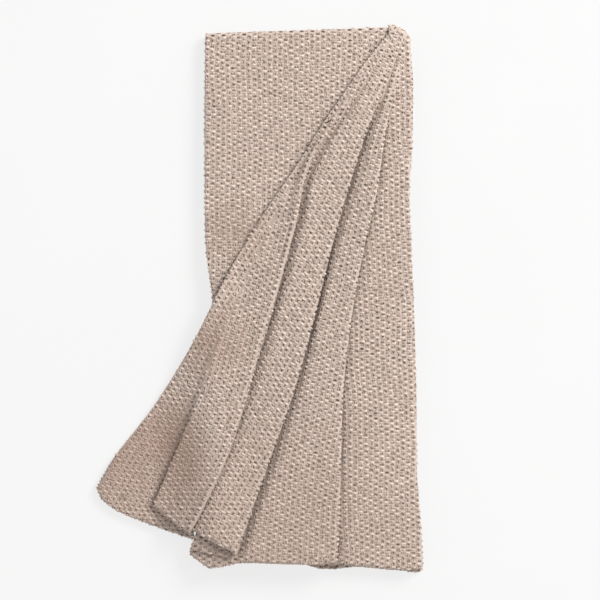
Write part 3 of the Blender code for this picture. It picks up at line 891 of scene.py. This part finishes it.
# The same stitches where the cloth turns on edge: round the rolled pleats, the side
# folds and the top fold, wherever that side can be seen.
MOST_LEVEL = 0.52
TURNS_GAP = 0.0068
VIEW_LIFT, VIEW_REACH = 0.0004, 0.006
last_column, last_row = columns - 1, len(cloth_rows) - 1
outward = cloth.data.vertex_normals
for i in range(1, last_row):
    for j in range(1, last_column):
        for number in (i * columns + j, i * columns + j + sheet_points):
            facing = Vector(outward[number].vector)
            place = Vector(cloth.data.vertices[number].co)
            if abs(facing.z) > MOST_LEVEL or (j in crest_columns and i < CREST_ROWS):
                continue
            if not stitches.free(place, TURNS_GAP):
                continue
            viewpoint = place + facing * VIEW_LIFT
            if cloth_tree.ray_cast(viewpoint, facing, VIEW_REACH)[0] is not None:
                continue
            onward = Vector(cloth_rows[i + 1][j]) - Vector(cloth_rows[i - 1][j])
            stitches.add("turns", place, facing, onward)

# The chain edge along both hems and the open side: a line of loops over the cloth's edge,
# as cast-on, cast-off and the turns of the rows leave it.
CHAIN_PITCH, CHAIN_GAP, CHAIN_SIZE = 0.0056, 0.0025, 0.8


def chain(points, inward):
    """Sets loops along an edge, each facing out of the cloth."""
    left_over = 0.0
    for here, after, inner in zip(points, points[1:], inward):
        here, after, inner = Vector(here), Vector(after), Vector(inner)
        along_edge = after - here
        out = (here - inner).normalized()
        while left_over < along_edge.length:
            place = here + along_edge * (left_over / along_edge.length)
            if stitches.free(place, CHAIN_GAP):
                stitches.add("chain", place, out, along_edge.cross(out), CHAIN_SIZE)
            left_over += CHAIN_PITCH
        left_over -= along_edge.length


chain(cloth_rows[0], cloth_rows[1])
chain(cloth_rows[-1], cloth_rows[-2])
chain([r[-1] for r in cloth_rows], [r[-2] for r in cloth_rows])

# The yarn itself: every stitch set above becomes one arched loop or one straight leg of the same
# marled wool, each a little larger, smaller, paler or darker than the next. The legs' tones are set
# lower than the loops' as painted shade, for the yarn lying under the loops.
LOOP_DULLEST, LOOP_PALEST = 0.25, 1.1
LEG_SHADED_DULLEST, LEG_SHADED_PALEST = 0.0, 0.65
LOOP_SIDES, LOOP_RINGS = 7, 4
TONE_SEED = 11


def loop_tree(material):
    """Geometry Nodes that set one arched loop of yarn at every point of a mesh."""
    tree = bpy.data.node_groups.new("yarn_loops", "GeometryNodeTree")
    tree.interface.new_socket("Places", in_out="INPUT", socket_type="NodeSocketGeometry")
    sizes = (("Across", STITCH_ACROSS), ("Along", STITCH_ALONG), ("High", STITCH_HIGH),
             ("Arch", STITCH_ARCH), ("Dullest", LOOP_DULLEST), ("Palest", LOOP_PALEST))
    for name, value in sizes:
        socket = tree.interface.new_socket(name, in_out="INPUT", socket_type="NodeSocketFloat")
        socket.default_value = value
    tree.interface.new_socket("Loops", in_out="OUTPUT", socket_type="NodeSocketGeometry")

    def node(kind, settings=(), inputs=()):
        made = tree.nodes.new(kind)
        for name, value in dict(settings).items():
            setattr(made, name, value)
        for name, value in dict(inputs).items():
            if isinstance(value, bpy.types.NodeSocket):
                tree.links.new(value, made.inputs[name])
            else:
                made.inputs[name].default_value = value
        return made

    def product(first, second):
        return node("ShaderNodeMath", {"operation": "MULTIPLY"}, {0: first, 1: second}).outputs[0]

    given = node("NodeGroupInput").outputs
    ball = node("GeometryNodeMeshUVSphere", (), {"Segments": LOOP_SIDES, "Rings": LOOP_RINGS,
                                                 "Radius": 0.5})
    spot = node("GeometryNodeInputPosition").outputs[0]
    point = node("ShaderNodeSeparateXYZ", (), {"Vector": spot})

    x = product(point.outputs[0], given["Across"])
    bend = product(product(x, x), given["Arch"])
    y = node("ShaderNodeMath", {"operation": "SUBTRACT"},
             {0: product(point.outputs[1], given["Along"]), 1: bend}).outputs[0]
    z = product(point.outputs[2], given["High"])
    shaped = node("ShaderNodeCombineXYZ", (), {0: x, 1: y, 2: z})
    loop = node("GeometryNodeSetPosition", (), {"Geometry": ball.outputs["Mesh"],
                                                "Position": shaped.outputs[0]})

    def stored(name):
        return node("GeometryNodeInputNamedAttribute", {"data_type": "FLOAT_VECTOR"},
                    {"Name": name}).outputs[0]

    turn = node("FunctionNodeAxesToRotation", {"primary_axis": "Z", "secondary_axis": "Y"},
                {0: stored("facing"), 1: stored("wale")})
    placed = node("GeometryNodeInstanceOnPoints", (), {
        "Points": given["Places"], "Instance": loop.outputs[0], "Rotation": turn.outputs[0],
        "Scale": stored("size")})
    shade = node("FunctionNodeRandomValue", {"data_type": "FLOAT"},
                 {"Seed": TONE_SEED, 2: given["Dullest"], 3: given["Palest"]})
    toned = node("GeometryNodeStoreNamedAttribute", {"data_type": "FLOAT", "domain": "INSTANCE"},
                 {"Geometry": placed.outputs[0], "Name": "tone", "Value": shade.outputs[1]})
    real = node("GeometryNodeRealizeInstances", (), {0: toned.outputs[0]})
    smooth = node("GeometryNodeSetShadeSmooth", (), {"Geometry": real.outputs[0]})
    painted = node("GeometryNodeSetMaterial", (), {"Geometry": smooth.outputs[0],
                                                   "Material": material})
    node("NodeGroupOutput", (), {0: painted.outputs[0]})
    return tree


# The legs' sizes, and their lower tones of painted shade
leg_sizes = {"Across": LEG_ACROSS, "Along": LEG_ALONG, "High": LEG_HIGH, "Arch": 0.0,
             "Dullest": LEG_SHADED_DULLEST, "Palest": LEG_SHADED_PALEST}
yarn = yarn_material("marled_yarn", deep=False)
loops = loop_tree(yarn)
for group in sorted({stitch.group for stitch in stitches.made}):
    here = [stitch for stitch in stitches.made if stitch.group == group]
    mesh = bpy.data.meshes.new("places")
    mesh.from_pydata([stitch.place for stitch in here], [], [])
    for name in ("facing", "wale"):
        mesh.attributes.new(name, "FLOAT_VECTOR", "POINT").data.foreach_set(
            "vector", [c for stitch in here for c in getattr(stitch, name)])
    # How strongly each stitch is darkened with painted shade for lying deep in a groove
    mesh.attributes.new("groove", "FLOAT", "POINT").data.foreach_set(
        "value", [stitch.groove for stitch in here])
    sizes = [stitch.size * chance.uniform(LEAST_SIZE, MOST_SIZE)
             for stitch in here for _ in range(3)]
    mesh.attributes.new("size", "FLOAT_VECTOR", "POINT").data.foreach_set("vector", sizes)
    carrier = bpy.data.objects.new("places", mesh)
    bpy.context.scene.collection.objects.link(carrier)
    modifier = carrier.modifiers.new("loops", "NODES")
    modifier.node_group = loops
    for socket in loops.interface.items_tree:
        if socket.in_out == "INPUT" and socket.socket_type == "NodeSocketFloat":
            own = leg_sizes[socket.name] if group.startswith("legs") else socket.default_value
            modifier[socket.identifier] = own
    bpy.context.view_layer.update()
    solid = bpy.data.meshes.new_from_object(
        carrier.evaluated_get(bpy.context.evaluated_depsgraph_get()))
    bpy.data.objects.remove(carrier)
    piece = bpy.data.objects.new("stitches_" + group, solid)
    solid.name = piece.name
    bpy.context.scene.collection.objects.link(piece)
    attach(piece, "root")

# The studio: a pale floor, soft light from the upper right, and a camera straight above.
PHOTO_SCALE = 0.001557
PHOTO_WIDTH = 600 * PHOTO_SCALE
PIXELS_RIGHT = 40
CAMERA_HEIGHT = 4.0
SENSOR = 36
FLOOR_REACH, FLOOR_Z = 6, -0.002
floor_mesh = bpy.data.meshes.new("floor")
floor_mesh.from_pydata([(x * FLOOR_REACH, y * FLOOR_REACH, FLOOR_Z)
                        for x, y in ((-1, -1), (1, -1), (1, 1), (-1, 1))], [], [(0, 1, 2, 3)])
floor = bpy.data.objects.new("floor", floor_mesh)
bpy.context.scene.collection.objects.link(floor)
paper, paper_shader, paper_place = new_material("floor_paper")
grain = paper_place.node("TexNoise", (), {"Vector": paper_place, "Scale": 3.0})
pale = grain.mix((0.16, 0.16, 0.16, 1.0), (0.18, 0.18, 0.18, 1.0))
paper.node_tree.links.new(pale.socket, paper_shader.inputs["Base Color"])
paper_shader.inputs["Roughness"].default_value = 0.9
paper_shader.inputs["Emission Color"].default_value = (1.0, 1.0, 1.0, 1.0)
paper_shader.inputs["Emission Strength"].default_value = 0.745
floor_mesh.materials.append(paper)


def softbox(name, place, size, power, colour):
    """A square light that looks at the throw."""
    light = bpy.data.lights.new(name, "AREA")
    light.size, light.energy, light.color = size, power, colour
    lamp = bpy.data.objects.new(name, light)
    lamp.location = place
    lamp.rotation_euler = (-Vector(place)).to_track_quat("-Z", "Y").to_euler()
    bpy.context.scene.collection.objects.link(lamp)


softbox("key", (3.3, 2.8, 3.2), 2.1, 239, (1.0, 0.985, 0.97))
world = bpy.data.worlds.new("studio")
world.use_nodes = True
world.node_tree.nodes["Background"].inputs["Color"].default_value = (1.0, 1.0, 1.0, 1.0)
world.node_tree.nodes["Background"].inputs["Strength"].default_value = 0.62
bpy.context.scene.world = world
bpy.context.scene.view_settings.view_transform = "Standard"

lens = bpy.data.cameras.new("camera")
lens.sensor_width = SENSOR
lens.lens = SENSOR / (PHOTO_WIDTH / CAMERA_HEIGHT)
camera = bpy.data.objects.new("camera", lens)
camera.location = (PIXELS_RIGHT * PHOTO_SCALE + cloth_shift[0], cloth_shift[1], CAMERA_HEIGHT)
bpy.context.scene.collection.objects.link(camera)
bpy.context.scene.camera = camera
